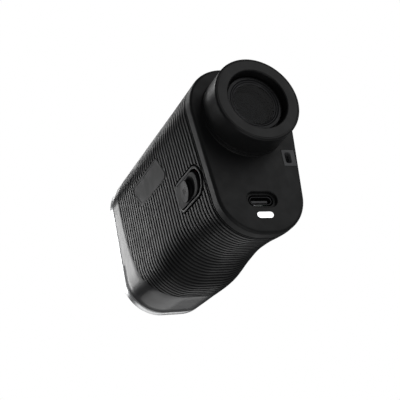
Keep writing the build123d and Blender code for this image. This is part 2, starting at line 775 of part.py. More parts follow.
def mode_button():
    low = FLANGE_TOP - FLANGE_THICK
    column = Pos(0, MODE_Y, low) * extrude(Circle(MODE_R), BUTTON_TOP - 0.3 - low)
    flange = Pos(0, MODE_Y, low) * extrude(Circle(MODE_R + FLANGE_LIP), FLANGE_THICK)
    return button_from(column, flange, MODE_Y, 1.5)


def key_board():
    return block(-6.5, 6.5, 27.0, 66.0, KEY_BOARD_Z, KEY_BOARD_Z + KEY_BOARD_THICK)


def key_switches():
    """The two identical push switches under the buttons."""
    z = KEY_BOARD_Z + KEY_BOARD_THICK + KEY_SWITCH_HEIGHT / 2
    return Compound([Pos(0, y, z) * Box(4.2, 4.2, KEY_SWITCH_HEIGHT) for y in (FIRE_Y, MODE_Y)])


def key_dome(y):
    """The silicone return dome round a switch."""
    low, high = KEY_BOARD_Z + KEY_BOARD_THICK, FLANGE_TOP - FLANGE_THICK
    outer = Pos(0, y, (low + high) / 2) * Cone(5.0, 4.2, high - low)
    return outer - Pos(0, y, (low + high) / 2) * Cone(4.3, 3.6, high - low)


NODES = {
    "rear_cap": rear_cap,
    "rear_gasket": rear_gasket,
    "grip_sleeve": grip_sleeve,
    "front_shell": front_shell,
    "front_bezel": front_bezel,
    "front_plate": front_plate,
    "front_gasket": front_gasket,
    "plate_screws": lambda: screws(PLATE_SCREWS, PLATE_Y[1], 9.4),
    "side_badge": side_badge,
    "lanyard_lug": lanyard_lug,
    "eyecup": eyecup,
    "eyepiece_collar": eyepiece_collar,
    "eyepiece_tube": eyepiece_tube,
    "ocular_cell": ocular_cell,
    "ocular_retainer": ocular_retainer,
    "eye_lens": eye_lens,
    "field_lens": field_lens,
    "objective_cell": objective_cell,
    "objective_lens": objective_lens,
    "objective_retainer": objective_retainer,
    "optics_barrel": optics_barrel,
    "laser_cell": laser_cell,
    "laser_lens": laser_lens,
    "laser_retainer": laser_retainer,
    "laser_barrel": laser_barrel,
    "laser_holder": laser_holder,
    "laser_diode": laser_diode,
    "prism_housing": prism_housing,
    "feet_screws": feet_screws,
    "roof_prism": roof_prism,
    "field_stop": field_stop,
    "display_glass": display_glass,
    "receiver_can": receiver_can,
    "receiver_sensor": receiver_sensor,
    "chassis": chassis,
    "main_board": main_board,
    "board_chips": board_chips,
    "standoffs": standoffs,
    "usb_board": usb_board,
    "usb_shell": usb_shell,
    "usb_tongue": usb_tongue,
    "lamp_window": lamp_window,
    "lamp_diode": lamp_diode,
    "battery_cell": battery_cell,
    "battery_cradle": battery_cradle,
    "vibration_motor": vibration_motor,
    "vibration_weight": vibration_weight,
    "motor_clip": motor_clip,
    "switch_escutcheon": switch_escutcheon,
    "slide_marker": slide_marker,
    "slider_plate": slider_plate,
    "slider_knob": slider_knob,
    "slide_switch_case": slide_switch_case,
    "button_island": button_island,
    "fire_button": fire_button,
    "mode_button": mode_button,
    "key_board": key_board,
    "key_switches": key_switches,
    "fire_dome": lambda: key_dome(FIRE_Y),
    "mode_dome": lambda: key_dome(MODE_Y),
}

for name, make in NODES.items():
    save(make(), name)
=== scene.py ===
"""Looks for the handheld laser rangefinder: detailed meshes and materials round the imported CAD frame.

Shapes are worked out in mm in a working frame: +Y is the aim direction, +Z up, +X right, Y = 0 on the
rear cap's flat face and Z = 0 on the eyepiece axis. place() turns them into the row frame in metres.
"""

import json
import math

import bmesh
import bpy
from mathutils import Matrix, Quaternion, Vector


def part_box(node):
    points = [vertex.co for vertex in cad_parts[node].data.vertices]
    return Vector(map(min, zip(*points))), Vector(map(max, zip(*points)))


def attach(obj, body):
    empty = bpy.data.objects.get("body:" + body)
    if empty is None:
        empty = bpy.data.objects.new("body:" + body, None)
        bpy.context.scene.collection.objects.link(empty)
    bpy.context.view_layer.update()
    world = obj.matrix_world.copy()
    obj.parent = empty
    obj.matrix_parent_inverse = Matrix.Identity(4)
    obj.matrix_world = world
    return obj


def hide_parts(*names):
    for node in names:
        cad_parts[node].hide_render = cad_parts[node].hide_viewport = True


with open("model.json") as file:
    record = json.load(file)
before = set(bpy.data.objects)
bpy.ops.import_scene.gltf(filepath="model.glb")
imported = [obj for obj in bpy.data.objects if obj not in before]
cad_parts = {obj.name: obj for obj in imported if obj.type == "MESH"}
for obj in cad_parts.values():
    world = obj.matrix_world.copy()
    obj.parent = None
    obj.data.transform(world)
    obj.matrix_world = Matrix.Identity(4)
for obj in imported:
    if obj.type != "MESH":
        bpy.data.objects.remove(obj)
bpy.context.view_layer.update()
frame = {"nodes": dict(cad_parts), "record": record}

MM = 0.001
REAR_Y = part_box("rear_cap")[0].y
EYECUP_LOW, EYECUP_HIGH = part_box("eyecup")
AXIS_Z = (EYECUP_LOW.z + EYECUP_HIGH.z) / 2

# ---- the housing's shape, in mm ----
STATIONS = [
    (0.0, 22.55, 16.2, 20.2, -47.2),
    (5.0, 22.45, 16.3, 20.2, -47.1),
    (18.0, 22.15, 16.8, 20.3, -45.1),
    (31.0, 21.75, 17.5, 20.4, -44.1),
    (44.0, 21.45, 18.2, 20.5, -45.0),
    (58.0, 21.05, 19.0, 20.6, -46.7),
    (76.0, 20.7, 19.7, 20.7, -45.7),
    (97.0, 20.5, 20.1, 20.8, -44.4),
]
TOP_CORNER_R = 17.0
BOTTOM_CORNER_R = 16.0
WALL = 2.2
CAP_DEPTH = 4.2
CAP_PLATE = 2.4
CAP_EDGE_R = 1.2
SLEEVE_START = 4.6
BEZEL_START = 92.0
BODY_LENGTH = 97.0
BEZEL_WALL = 1.9
RIB_PITCH = 2.24
RIB_FIRST_GROOVE = 5.6
RIB_LAST_GROOVE = 84.0
RIB_DEPTH = 0.85
GROOVE_HALF = 0.56
RIB_END_CENTRE = (2.0, 3.0)
RIB_END_R = 82.5
SWITCH_Y, SWITCH_Z = 16.6, -21.0
# D shapes on the flank: centre of the rear half circle, front edge, half width, front corner radius
SWITCH_RIM = (-4.0, 12.0, 5.9, 2.5)
SWITCH_WINDOW = (-4.0, 11.2, 4.9, 1.9)
SWITCH_TOP = 0.25
SWITCH_MOAT = 0.7
SWITCH_FLANGE = (-2.2, -1.5)
SLIDER = (-2.1, 10.9, 4.6, 1.6)
SLIDER_HEIGHTS = (-1.65, 0.5)
DISH_X, DISH_R, DISH_DEPTH = -0.6, 3.9, 1.3
KNOB_X, KNOB_R, KNOB_SEAT = 3.7, 4.2, -1.2
KNOB_HEIGHTS = (1.55, 0.7)
GRIP_LINE, GRIP_LINE_STEP = (0.35, 2.4), 1.1
BADGE_CENTRE = (50.0, -3.2)
BADGE_SIZE = (29.0, 11.0)
BADGE_SLANT = 3.0
BADGE_THICK = 1.0
ISLAND_SIZE = (17.0, 46.0)
ISLAND_Y = 46.0
ISLAND_Z = (18.3, 21.3)
FIRE_Y, FIRE_SIZE = 54.0, (11.0, 21.0)
MODE_Y, MODE_R = 33.0, 4.6
KEY_GAP, KEY_FLANGE, KEY_LEVELS = 0.3, 0.9, (17.05, 17.2, 18.2)
USB_Z, USB_POCKET, USB_DEPTH = -33.9, (12.1, 6.0), 1.3
USB_HOLE, USB_SHELL, USB_SHELL_Y, USB_WALL = (10.2, 4.4), (8.94, 3.26), (1.5, 8.6), 0.35
USB_TONGUE, USB_TONGUE_Y = (6.6, 1.0), 2.5
LAMP_Z, LAMP_SIZE, LAMP_FIT = -39.9, (6.5, 2.3), 0.06
LUG_X, LUG_Z, LUG_CORNER_R = (12.4, 17.9), (-20.5, -13.7), 0.5
LUG_SLOT_X, LUG_SLOT_Z, LUG_SLOT_R = (13.6, 15.9), (-19.2, -14.9), 0.9
LUG_SIDE_Y, LUG_DEPTH, LUG_FIT = (1.2, 3.2), 4.1, 0.05
BEYOND_SIDE, THROUGH_CAP = 30.0, 6.0
# the eyepiece: radii and ys of turned profiles
CUP_R, CUP_EDGE_R, CUP_BORE_R, CUP_BORE_EDGE_R = 16.9, 0.8, 11.8, 0.6
CUP_STEP_Y, CUP_NECK_R, CUP_NECK_LENGTH = -8.0, 11.25, 1.4
RIM_GROOVE_R, RIM_GROOVE_DEPTH = (15.8, 16.0), 0.19
BASE_GROOVE_Y, BASE_GROOVE_R, BEAD_R = (-2.3, -1.9), 16.5, 16.8
TUBE_HOLE_R, TUBE_GAP_R = 12.52, 12.46
COLLAR_R, COLLAR_FLARE_R, COLLAR_Y = 16.8, 17.0, (-1.0, -0.33)
EYE_FACE_Y, EYE_SEAT_Y = -9.9, -9.1
CELL_R, CELL_BORE_R, CELL_END_Y = 10.9, 9.6, 9.0
EYE_STOP_R, EYE_STOP_Y = 9.0, (-2.4, -1.4)
RETAINER_FLAT_R, RETAINER_BORE_R = 9.8, 8.15
LASER_Z = -29.0
FRONT_Y = 95.2
FRONT_SCREWS = [(14.8, 9.5), (-14.8, 9.5), (12.5, -36.0), (-12.5, -36.0)]


def place(point):
    """A working-frame point in mm, in the row frame in metres."""
    return Vector((point[0] * MM, REAR_Y + point[1] * MM, AXIS_Z + point[2] * MM))


# ---- camera ----
def add_camera():
    """Below, behind and to the left of the object, turned a little about its own axis."""
    lens_mm, sensor_mm, roll = 85.5, 36.0, math.radians(-11.4)
    data = bpy.data.cameras.new("camera")
    data.lens, data.sensor_width = lens_mm, sensor_mm
    camera = bpy.data.objects.new("camera", data)
    bpy.context.scene.collection.objects.link(camera)
    eye, target = place((-163.1, -270.0, -159.5)), place((-3.0, 42.0, -14.6))
    aim = (target - eye).to_track_quat("-Z", "Y")
    camera.rotation_mode = "QUATERNION"
    camera.location = eye
    camera.rotation_quaternion = aim @ Quaternion((0, 0, 1), roll)
    bpy.context.scene.camera = camera


add_camera()


# ---- materials ----
def new_material(name):
    material = bpy.data.materials.new(name)
    material.use_nodes = True
    tree = material.node_tree
    tree.nodes.clear()
    shader = tree.nodes.new("ShaderNodeBsdfPrincipled")
    output = tree.nodes.new("ShaderNodeOutputMaterial")
    tree.links.new(shader.outputs["BSDF"], output.inputs["Surface"])
    return material, tree, shader


def noise(tree, scale, detail, stretch=(1, 1, 1)):
    """Noise over the object's own coordinates; scale is in features per metre."""
    coords = tree.nodes.new("ShaderNodeTexCoord")
    mapping = tree.nodes.new("ShaderNodeMapping")
    mapping.inputs["Scale"].default_value = stretch
    texture = tree.nodes.new("ShaderNodeTexNoise")
    texture.inputs["Scale"].default_value = scale
    texture.inputs["Detail"].default_value = detail
    tree.links.new(coords.outputs["Object"], mapping.inputs["Vector"])
    tree.links.new(mapping.outputs["Vector"], texture.inputs["Vector"])
    return texture.outputs["Fac"]


def ramp(tree, source, stops):
    """A colour ramp; stops are (position, colour or grey)."""
    node = tree.nodes.new("ShaderNodeValToRGB")
    elements = node.color_ramp.elements
    for i, (position, colour) in enumerate(stops):
        element = elements[i] if i < 2 else elements.new(position)
        element.position = position
        element.color = (*colour, 1) if hasattr(colour, "__len__") else (colour, colour, colour, 1)
    tree.links.new(source, node.inputs["Fac"])
    return node.outputs["Color"]


def mix(tree, factor, a, b):
    """Blends a into b; each of the three inputs may be a socket or a plain value."""
    node = tree.nodes.new("ShaderNodeMix")
    node.data_type = "RGBA"
    for value, socket in ((factor, node.inputs["Factor"]), (a, node.inputs["A"]), (b, node.inputs["B"])):
        if hasattr(value, "is_linked"):
            tree.links.new(value, socket)
        elif hasattr(value, "__len__"):
            socket.default_value = (*value, 1)
        else:
            socket.default_value = value
    return node.outputs["Result"]


def edge_mask(tree, low, high):
    """White on convex edges, from the surface's pointiness."""
    geometry = tree.nodes.new("ShaderNodeNewGeometry")
    return ramp(tree, geometry.outputs["Pointiness"], [(low, 0.0), (high, 1.0)])


def bump(tree, shader, layers):
    """Chains bump nodes; layers are (height source, distance in mm, strength)."""
    normal = None
    for height, distance, strength in layers:
        node = tree.nodes.new("ShaderNodeBump")
        node.inputs["Distance"].default_value = distance * MM
        node.inputs["Strength"].default_value = strength
        tree.links.new(height, node.inputs["Height"])
        if normal:
            tree.links.new(normal, node.inputs["Normal"])
        normal = node.outputs["Normal"]
    tree.links.new(normal, shader.inputs["Normal"])


def scaled(colour, factor):
    return tuple(min(1.0, c * factor) for c in colour)


def moulded(name, colour, rough, grain=5200, grain_height=0.02, wear=1.6, coat=0.0, specular=0.5,
            ripple=0.15):
    """Moulded plastic: sparked grain, slow colour drift, handling shine and paler edges."""
    material, tree, shader = new_material(name)
    drift = ramp(tree, noise(tree, 90, 3), [(0.3, scaled(colour, 0.88)), (0.7, scaled(colour, 1.12))])
    speckle = ramp(tree, noise(tree, grain, 2), [(0.35, scaled(colour, 0.9)), (0.65, scaled(colour, 1.1))])
    body = mix(tree, 0.5, drift, speckle)
    worn = mix(tree, edge_mask(tree, 0.52, 0.62), body, scaled(colour, wear))
    tree.links.new(worn, shader.inputs["Base Color"])
    shine = ramp(tree, noise(tree, 240, 5), [(0.35, rough[0]), (0.65, rough[1])])
    tree.links.new(shine, shader.inputs["Roughness"])
    shader.inputs["Specular IOR Level"].default_value = specular
    shader.inputs["Coat Weight"].default_value = coat
    shader.inputs["Coat Roughness"].default_value = 0.12
    bump(tree, shader, [
        (noise(tree, grain, 3), grain_height, 0.35),
        (noise(tree, 700, 2), grain_height * 0.5, ripple),
    ])
    return material


def metal(name, colour, rough, stretch, grain, height, anodised=0.0):
    """Metal with fine turning or brushing marks and a slow roughness drift."""
    material, tree, shader = new_material(name)
    lines = noise(tree, grain, 3, stretch)
    tint = ramp(tree, lines, [(0.35, scaled(colour, 0.92)), (0.65, scaled(colour, 1.06))])
    worn = mix(tree, edge_mask(tree, 0.53, 0.64), tint, scaled(colour, 1.5))
    tree.links.new(worn, shader.inputs["Base Color"])
    shader.inputs["Metallic"].default_value = 1.0 - anodised
    finish = ramp(tree, noise(tree, 160, 4), [(0.3, rough[0]), (0.7, rough[1])])
    tree.links.new(finish, shader.inputs["Roughness"])
    bump(tree, shader, [(lines, height, 0.3)])
    return material


def glass(name, tint, coating_sheen, rough, ior):
    """Coated optical glass, with a painted reflection sheen: the coating's colour is painted into the base
    colour at a glancing view angle.
    """
    material, tree, shader = new_material(name)
    fresnel = tree.nodes.new("ShaderNodeLayerWeight")
    fresnel.inputs["Blend"].default_value = 0.35
    smear = ramp(tree, noise(tree, 260, 3), [(0.35, scaled(tint, 0.94)), (0.65, tint)])
    # painted sheen: the base colour turns to the coating's reflected colour where the view grazes the glass
    tree.links.new(mix(tree, fresnel.outputs["Facing"], smear, coating_sheen), shader.inputs["Base Color"])
    shader.inputs["Transmission Weight"].default_value = 1.0
    shader.inputs["IOR"].default_value = ior
    dust = ramp(tree, noise(tree, 900, 4), [(0.5, rough), (0.8, rough + 0.03)])
    tree.links.new(dust, shader.inputs["Roughness"])
    bump(tree, shader, [(noise(tree, 120, 2), 0.002, 0.1)])
    return material


def circuit_board(name):
    """Green solder mask over copper tracks, with bare pads."""
    material, tree, shader = new_material(name)
    coords = tree.nodes.new("ShaderNodeTexCoord")
    tracks = tree.nodes.new("ShaderNodeTexBrick")
    tracks.inputs["Scale"].default_value = 260
    tracks.inputs["Mortar Size"].default_value = 0.05
    tracks.inputs["Color1"].default_value = (0.012, 0.10, 0.035, 1)
    tracks.inputs["Color2"].default_value = (0.016, 0.13, 0.045, 1)
    tracks.inputs["Mortar"].default_value = (0.03, 0.22, 0.08, 1)
    tree.links.new(coords.outputs["Object"], tracks.inputs["Vector"])
    pads = ramp(tree, noise(tree, 900, 0), [(0.66, 0.0), (0.68, 1.0)])
    tree.links.new(mix(tree, pads, tracks.outputs["Color"], (0.75, 0.6, 0.3)), shader.inputs["Base Color"])
    gloss = ramp(tree, noise(tree, 300, 3), [(0.3, 0.28), (0.7, 0.42)])
    tree.links.new(gloss, shader.inputs["Roughness"])
    bump(tree, shader, [(tracks.outputs["Fac"], 0.03, 0.4)])
    return material


def lit_diffuser(name):
    """The lamp's milky window, lit from behind, its glow drifting a little at random."""
    material, tree, shader = new_material(name)
    glow = ramp(tree, noise(tree, 400, 2), [(0.3, (0.95, 0.97, 1.0)), (0.7, (1.0, 1.0, 1.0))])
    tree.links.new(glow, shader.inputs["Base Color"])
    tree.links.new(glow, shader.inputs["Emission Color"])
    shader.inputs["Emission Strength"].default_value = 1.25
    soft = ramp(tree, noise(tree, 2500, 3), [(0.3, 0.3), (0.7, 0.45)])
    tree.links.new(soft, shader.inputs["Roughness"])
    bump(tree, shader, [(noise(tree, 3000, 2), 0.01, 0.2)])
    return material


MATERIALS = {
    "cap_plastic": moulded("cap_plastic", (0.018, 0.0185, 0.019), (0.44, 0.52), grain_height=0.01, wear=1.5),
    "rib_plastic": moulded("rib_plastic", (0.018, 0.0185, 0.019), (0.34, 0.42), grain_height=0.006, wear=1.35,
                           specular=0.3, ripple=0.0),
    "shell_plastic": moulded("shell_plastic", (0.020, 0.0205, 0.022), (0.30, 0.34), grain=3800,
                             grain_height=0.002, coat=0.15, ripple=0.0),
    "bezel_metal": metal("bezel_metal", (0.90, 0.905, 0.91), (0.26, 0.34), (1, 8, 1), 900, 0.002),
    "plate_plastic": moulded("plate_plastic", (0.018, 0.018, 0.019), (0.5, 0.6), grain_height=0.008),
    "gasket_rubber": moulded("gasket_rubber", (0.010, 0.010, 0.010), (0.7, 0.85), grain=2600,
                             grain_height=0.03),
    "steel": metal("steel", (0.56, 0.56, 0.57), (0.2, 0.34), (1, 12, 1), 1400, 0.006),
    "eyecup_plastic": moulded("eyecup_plastic", (0.018, 0.0183, 0.0187), (0.34, 0.42), grain=6000,
                              grain_height=0.008, wear=1.5),
    "black_metal": metal("black_metal", (0.022, 0.022, 0.024), (0.2, 0.3), (1, 14, 1), 1800, 0.005,
                         anodised=0.6),
    "lens_glass": glass("lens_glass", (0.24, 0.25, 0.26), (0.3, 0.34, 0.33), 0.0, 1.3),
    "prism_glass": glass("prism_glass", (0.8, 0.83, 0.84), (0.7, 0.76, 0.8), 0.0, 1.5),
    "lug_plastic": moulded("lug_plastic", (0.2, 0.202, 0.208), (0.38, 0.5), wear=1.1),
    "board": circuit_board("board"),
    "chip": moulded("chip", (0.028, 0.028, 0.030), (0.5, 0.62), grain=4200),
    "lamp": lit_diffuser("lamp"),
    "battery": moulded("battery", (0.04, 0.12, 0.30), (0.25, 0.36), grain=1500, grain_height=0.01),
    "marker_red": moulded("marker_red", (0.10, 0.004, 0.008), (0.4, 0.55)),
    "key_plastic": moulded("key_plastic", (0.020, 0.0204, 0.021), (0.48, 0.56), grain=6400,
                           grain_height=0.008, specular=0.25, ripple=0.0),
    "silicone": moulded("silicone", (0.22, 0.22, 0.23), (0.5, 0.65), grain=2200),
    "brass": metal("brass", (0.70, 0.52, 0.24), (0.2, 0.32), (1, 10, 1), 1300, 0.006),
}


# ---- mesh helpers ----
SHARP_ANGLE = 32.0
SLANTED_SHARP_ANGLE = 40.0


def finish_mesh(name, points, faces, sharp):
    """A clean closed mesh from working-frame points: doubles merged, normals outwards, sharp edges kept."""
    data = bpy.data.meshes.new(name)
    data.from_pydata([place(p) for p in points], [], faces)
    shape = bmesh.new()
    shape.from_mesh(data)
    bmesh.ops.remove_doubles(shape, verts=shape.verts, dist=2e-6)
    bmesh.ops.dissolve_degenerate(shape, edges=shape.edges, dist=1e-6)
    bmesh.ops.recalc_face_normals(shape, faces=shape.faces)
    shape.to_mesh(data)
    shape.free()
    data.shade_smooth()
    data.set_sharp_from_angle(angle=math.radians(sharp))
    obj = bpy.data.objects.new(name, data)
    bpy.context.scene.collection.objects.link(obj)
    return obj


def loft(name, rings, ends="caps", sharp=SHARP_ANGLE):
    """Skins a list of equal rings. ends: caps closes both ends, loop joins the last ring to the first."""
    count = len(rings[0])
    points = [p for ring in rings for p in ring]
    faces = []
    pairs = [(i, i + 1) for i in range(len(rings) - 1)]
    if ends == "loop":
        pairs.append((len(rings) - 1, 0))
    for a, b in pairs:
        for k in range(count):
            n = (k + 1) % count
            faces.append((a * count + k, a * count + n, b * count + n, b * count + k))
    if ends == "caps":
        faces.append(tuple(range(count - 1, -1, -1)))
        faces.append(tuple((len(rings) - 1) * count + k for k in range(count)))
    return finish_mesh(name, points, faces, sharp)


def rounded(profile, radius, steps):
    """A closed 2D profile with each corner rounded; radius is one value or one per corner."""
    out, count = [], len(profile)
    for i, corner in enumerate(profile):
        r = radius[i] if hasattr(radius, "__len__") else radius
        p = Vector(corner)
        before, after = Vector(profile[i - 1]) - p, Vector(profile[(i + 1) % count]) - p
        angle = before.angle(after) if before.length * after.length > 0 else math.pi
        if r <= 0 or angle > math.radians(175):
            out.append(tuple(p))
            continue
        cut = min(r / math.tan(angle / 2), before.length * 0.45, after.length * 0.45)
        a, b = p + before.normalized() * cut, p + after.normalized() * cut
        for k in range(steps + 1):
            t = k / steps
            out.append(tuple(a * (1 - t) ** 2 + p * 2 * t * (1 - t) + b * t**2))
    return out


def turned(name, profile, steps=144, x=0.0, z=0.0):
    """A solid of revolution about a line along Y, from a closed (radius, y) profile."""
    rings = []
    for i in range(steps):
        angle = 2 * math.pi * i / steps
        rings.append([(x + r * math.cos(angle), y, z + r * math.sin(angle)) for r, y in profile])
    return loft(name, rings, "loop")


def stadium(width, height, steps=14):
    """A stadium outline, counter-clockwise, long along its first axis."""
    r = min(width, height) / 2
    points = []
    for side in (1, -1):
        for k in range(steps + 1):
            angle = -math.pi / 2 + math.pi * k / steps
            across, along = side * r * math.sin(angle), side * r * math.cos(angle)
            if width >= height:
                points.append((side * (width / 2 - r) + along, across))
            else:
                points.append((-across, side * (height / 2 - r) + along))
    return points


def circle_2d(radius, steps, x=0.0):
    return [(x + radius * math.cos(2 * math.pi * k / steps), radius * math.sin(2 * math.pi * k / steps))
            for k in range(steps)]


def on_rear(outline, y, z=0.0, x=0.0):
    """A 2D outline set up in the plane at y, centred on (x, z)."""
    return [(x + u, y, z + v) for u, v in outline]


def flank_frame(y, z):
    """Origin and axes on the left flank: forward, down the flank and outwards."""
    half_top, half_bottom, top, bottom = station(y)
    lean = math.atan2(half_top - half_bottom, top - bottom)
    origin = Vector((-half_width(y, z), y, z))
    outward = Vector((-math.cos(lean), 0, -math.sin(lean)))
    down = Vector((math.sin(lean), 0, -math.cos(lean)))
    return origin, Vector((0, 1, 0)), down, outward


def on_flank(base, outline, height):
    """A 2D outline (forward, down) set at a height above the flank."""
    origin, forward, down, outward = base
    return [tuple(origin + forward * u + down * v + outward * height) for u, v in outline]


def carve(obj, *cutters):
    """Cuts closed cutters out of obj and removes them."""
    bpy.context.view_layer.objects.active = obj
    for cutter in cutters:
        modifier = obj.modifiers.new("cut", "BOOLEAN")
        modifier.operation, modifier.solver, modifier.object = "DIFFERENCE", "EXACT", cutter
        bpy.ops.object.modifier_apply(modifier=modifier.name)
        bpy.data.objects.remove(cutter)
    obj.data.set_sharp_from_angle(angle=math.radians(SHARP_ANGLE))
    return obj


def dress(obj, slot, body, *nodes):
    """Material, body and the CAD nodes that the piece stands for."""
    obj.data.materials.clear()
    obj.data.materials.append(MATERIALS[slot])
    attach(obj, body)
    if nodes:
        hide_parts(*nodes)
    return obj


def soften(obj):
    """Area-weighted normals, so that flat faces stay flat beside narrow rounded edges."""
    obj.modifiers.new("flat_faces", "WEIGHTED_NORMAL").keep_sharp = True
    return obj


# ---- the housing's sections ----
def station(y):
    """The section's measures at y: a smooth cubic through STATIONS."""
    last = len(STATIONS) - 1
    k = min(max(i for i in range(last) if STATIONS[i][0] <= max(y, 0.0)), last - 1)
    low, high = STATIONS[k], STATIONS[k + 1]
    span = high[0] - low[0]
    t = (y - low[0]) / span

    def slope(i, column):
        before, after = STATIONS[max(i - 1, 0)], STATIONS[min(i + 1, last)]
        return (after[column] - before[column]) / (after[0] - before[0])

    values = []
    for c in range(1, 5):
        rise = high[c] - low[c]
        m0, m1 = slope(k, c) * span, slope(k + 1, c) * span
        values.append(low[c] + m0 * t + (3 * rise - 2 * m0 - m1) * t**2 + (m0 + m1 - 2 * rise) * t**3)
    return values


def half_width(y, z):
    half_top, half_bottom, top, bottom = station(y)
    return half_bottom + (half_top - half_bottom) * (z - bottom) / (top - bottom)


CORNER_STEPS = 32
SIDE_STEPS = (4, 30, 10, 30)


def outline(y, inset=0.0):
    """The housing's rounded section at y as points, counter-clockwise from the bottom right corner."""
    half_top, half_bottom, top, bottom = station(y)
    lean = (half_top - half_bottom) / (top - bottom)
    shift = inset * math.sqrt(1 + lean**2)
    low, high = bottom + inset, top - inset
    half_low = half_bottom + lean * inset - shift
    half_high = half_top - lean * inset - shift
    corners = [Vector(c) for c in ((half_low, low), (half_high, high), (-half_high, high), (-half_low, low))]
    radii = [BOTTOM_CORNER_R - inset, TOP_CORNER_R - inset, TOP_CORNER_R - inset, BOTTOM_CORNER_R - inset]
    arcs = []
    for i, p in enumerate(corners):
        into, out = (p - corners[i - 1]).normalized(), (corners[(i + 1) % 4] - p).normalized()
        turn = into.angle(out)
        start = p - into * radii[i] * math.tan(turn / 2)
        centre = start + Vector((-into.y, into.x)) * radii[i]
        first = math.atan2(start.y - centre.y, start.x - centre.x)
        arcs.append([
            centre + radii[i] * Vector((math.cos(first + turn * k / CORNER_STEPS),
                                        math.sin(first + turn * k / CORNER_STEPS)))
            for k in range(CORNER_STEPS + 1)
        ])
    points = []
    for i, arc in enumerate(arcs):
        points += arc
        start, end = arc[-1], arcs[(i + 1) % 4][0]
        steps = SIDE_STEPS[(i + 1) % 4]
        points += [start.lerp(end, k / steps) for k in range(1, steps)]
    return [(p.x, y, p.y) for p in points]


def rib_end(column, inset=0.0):
    """The y where the ribs stop on an outline column: a cylinder about X bounds them."""
    y = 80.0
    for _ in range(4):
        z = outline(y, inset)[column][2]
        y = RIB_END_CENTRE[0] + math.sqrt(RIB_END_R**2 - (z - RIB_END_CENTRE[1]) ** 2)
    return y


COLUMNS = len(outline(0))
RIB_ENDS = [rib_end(k) for k in range(COLUMNS)]
EDGE_FADE = 0.45


def rib_inset(y, end):
    """Depth below the rib crests at y: a V groove at each pitch, with the crests a little crowned."""
    phase = (y - RIB_FIRST_GROOVE) / RIB_PITCH
    gap = abs(phase - round(phase)) * RIB_PITCH
    groove = 1 - (min(gap, GROOVE_HALF) / GROOVE_HALF) ** 1.25
    crown = 0.06 * (1 - min(1.0, gap / (RIB_PITCH / 2))) ** 2
    fade = min(1.0, max(0.0, (end - y) / EDGE_FADE)) if y > RIB_FIRST_GROOVE else 1.0
    return (RIB_DEPTH * groove + crown) * fade


def rib_rows():
    """Stations for the ribbed skin: close together in the grooves, wider on the crests."""
    offsets = (-0.85, -0.6, -0.56, -0.42, -0.28, -0.14, 0.0, 0.14, 0.28, 0.42, 0.56, 0.6, 0.85)
    rows = []
    groove = RIB_FIRST_GROOVE
    while groove <= RIB_LAST_GROOVE + RIB_PITCH:
        rows += [groove + offset for offset in offsets]
        groove += RIB_PITCH
    return [y for y in rows if y > SLEEVE_START + 0.3]


def ring_at(ys, insets):
    """A ring whose every column has its own y and inset."""
    cache = {}
    ring = []
    for k, (y, inset) in enumerate(zip(ys, insets)):
        key = (round(y, 4), round(inset, 4))
        if key not in cache:
            cache[key] = outline(y, inset)
        ring.append(cache[key][k])
    return ring


# ---- housing pieces ----
def d_outline(shape, grow):
    """One of the slide switch's D shapes, forward and down the flank, grown outwards."""
    rear, front, r, corner = shape
    front, r, corner = front + grow, r + grow, corner + grow
    arc_steps, corner_steps = 22, 8
    points = []
    for k in range(arc_steps + 1):
        a = math.pi * k / arc_steps
        points.append((rear - r * math.sin(a), -r * math.cos(a)))
    for k in range(corner_steps + 1):
        a = math.pi / 2 * k / corner_steps
        points.append((front - corner + corner * math.sin(a), r - corner + corner * math.cos(a)))
    for k in range(corner_steps + 1):
        a = math.pi / 2 * k / corner_steps
        points.append((front - corner + corner * math.cos(a), corner - r - corner * math.sin(a)))
    return points


def switch_hole(grow):
    """The switch's outline, wider behind and at the sides but not in front."""
    rear, front, r, corner = SWITCH_RIM
    return d_outline((rear, front + 0.05 - grow, r, corner), grow)


def badge_outline(grow):
    a, b = BADGE_SIZE[0] / 2 + grow, BADGE_SIZE[1] / 2 + grow
    corners = [(-a - BADGE_SLANT, b), (a - BADGE_SLANT, b), (a + BADGE_SLANT, -b), (-a + BADGE_SLANT, -b)]
    return rounded(corners, 2.2 + grow, 8)


SWITCH_BASE = flank_frame(SWITCH_Y, SWITCH_Z)
BADGE_BASE = flank_frame(*BADGE_CENTRE)


def island_outline(grow):
    width, length = ISLAND_SIZE
    return stadium(width + 2 * grow, length + 2 * grow, 20)


def level(outline_2d, y, z):
    """A 2D outline (across, along) laid level at height z."""
    return [(u, y + v, z) for u, v in outline_2d]


def make_sleeve():
    first = SLEEVE_START
    skin = [ring_at([first] * COLUMNS, [0.25] * COLUMNS), ring_at([first + 0.1] * COLUMNS, [0.07] * COLUMNS)]
    for y in [first + 0.25, *rib_rows()]:
        ys = [min(y, end) for end in RIB_ENDS]
        skin.append(ring_at(ys, [rib_inset(v, end) for v, end in zip(ys, RIB_ENDS)]))
    skin.append(ring_at(RIB_ENDS, [0.0] * COLUMNS))
    inner_ends = [rib_end(k, WALL) for k in range(COLUMNS)]
    inner = [ring_at(inner_ends, [WALL] * COLUMNS)]
    for y in (70.0, 60.0, 50.0, 40.0, 30.0, 20.0, 12.0):
        inner.append(ring_at([min(y, end) for end in inner_ends], [WALL] * COLUMNS))
    inner.append(ring_at([first] * COLUMNS, [WALL] * COLUMNS))
    sleeve = loft("ribbed_grip", skin + inner, "loop", SLANTED_SHARP_ANGLE)
    cutters = [
        loft("switch_hole", [on_flank(SWITCH_BASE, switch_hole(SWITCH_MOAT), h) for h in (-6, 3)]),
        loft("badge_pocket", [on_flank(BADGE_BASE, badge_outline(0.12), h) for h in (-BADGE_THICK, 4)]),
        loft("island_hole", [level(island_outline(0.08), ISLAND_Y, z) for z in (10, 30)]),
    ]
    dress(carve(sleeve, *cutters), "rib_plastic", "housing", "grip_sleeve")


